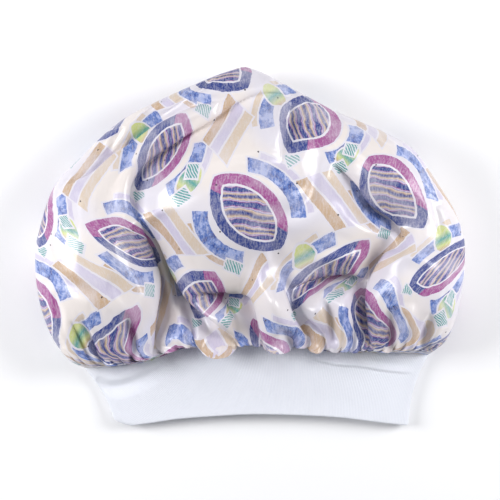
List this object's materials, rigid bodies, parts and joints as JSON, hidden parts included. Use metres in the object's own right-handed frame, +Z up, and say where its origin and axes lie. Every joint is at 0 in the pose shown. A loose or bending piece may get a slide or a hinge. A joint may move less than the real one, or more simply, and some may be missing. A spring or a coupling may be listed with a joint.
{
  "type": "sleep bonnet",
  "caption": "Soft round sleep bonnet lying on its back: a puffed, gathered satin crown on a wide knitted elastic band.",
  "frame": {"origin": "middle of the bonnet's box, on the surface it lies on", "axes": "+X across the bonnet's width, to the right when it is seen from above with the band towards the viewer, +Y from the band to the crown's peak, +Z up from the surface"},
  "size_m": [0.3596, 0.301, 0.084],
  "materials": {
    "satin": "glossy printed satin, off-white with blue, violet and sand motifs",
    "knit": "matte white fine rib knit"
  },
  "bodies": {
    "root": {"crown": "satin", "band": "knit"}
  },
  "joints": []
}
